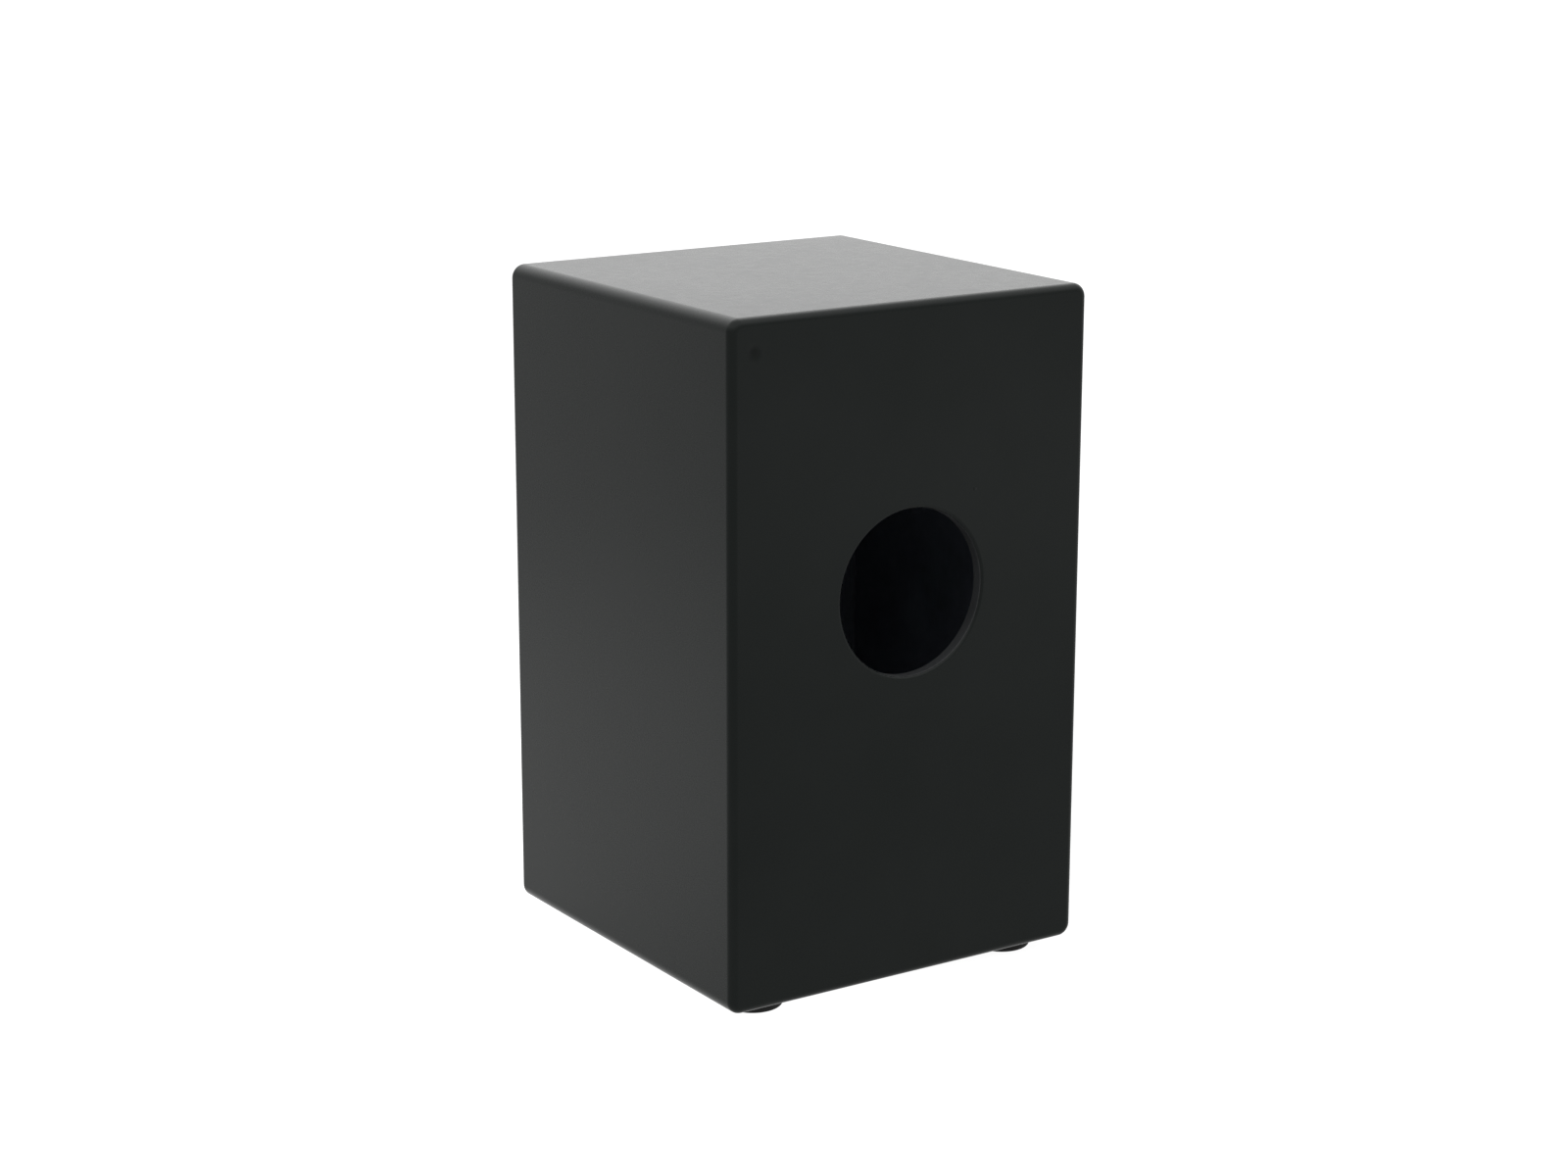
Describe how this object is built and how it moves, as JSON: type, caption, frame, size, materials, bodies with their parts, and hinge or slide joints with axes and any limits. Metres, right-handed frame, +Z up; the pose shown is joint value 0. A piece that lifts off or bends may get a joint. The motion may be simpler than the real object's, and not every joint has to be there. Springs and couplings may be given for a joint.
{
  "type": "cajon",
  "caption": "Box drum with rounded edges, a round sound hole in the back, rubber feet, a thin playing plate at the front and snare wires that tilt on and off it.",
  "frame": {"origin": "on the floor, below the middle of the box", "axes": "+Z up to the seat, +Y out through the sound hole at the back, -Y out of the playing plate, +X to the seated player's left"},
  "size_m": [0.3, 0.3, 0.497],
  "materials": {
    "black_lacquer": "satin black lacquer on plywood",
    "playing_lacquer": "satin black lacquer on thin plywood",
    "dark_wood": "planed, thinly sprayed dark grey",
    "beech": "planed, unfinished",
    "steel": "zinc plated",
    "spring_steel": "bright drawn wire",
    "black_steel": "black oxide",
    "rubber": "matte",
    "felt": "pressed felt"
  },
  "bodies": {
    "box": {"top_panel": "black_lacquer", "bottom_panel": "black_lacquer", "left_side_panel": "black_lacquer", "right_side_panel": "black_lacquer", "back_panel": "black_lacquer", "playing_plate": "playing_lacquer", "front_post_left": "dark_wood", "front_post_right": "dark_wood", "front_rail_top": "dark_wood", "front_rail_bottom": "dark_wood", "back_post_left": "dark_wood", "back_post_right": "dark_wood", "back_rail_top": "dark_wood", "back_rail_bottom": "dark_wood", "panel_dowels": "beech", "playing_plate_screws": "black_steel", "back_panel_pins": "steel", "foot_front_left": "rubber", "foot_front_right": "rubber", "foot_back_left": "rubber", "foot_back_right": "rubber", "foot_washers": "steel", "foot_screws": "steel", "pivot_washer_left": "felt", "pivot_washer_right": "felt"},
    "snare": {"snare_beam": "beech", "snare_pivot_pin_left": "steel", "snare_pivot_pin_right": "steel", "snare_wires_left": "spring_steel", "snare_wires_right": "spring_steel", "snare_clamp_left": "steel", "snare_clamp_right": "steel", "snare_clamp_screws": "black_steel", "snare_lever": "black_steel", "lever_knob": "rubber", "lever_screws": "black_steel"}
  },
  "joints": [
    {"name": "snare_tilt", "type": "hinge", "parent": "box", "child": "snare", "pos_m": [0, -0.13, 0.345], "axis": [1, 0, 0], "range_deg": [0, 30]}
  ]
}
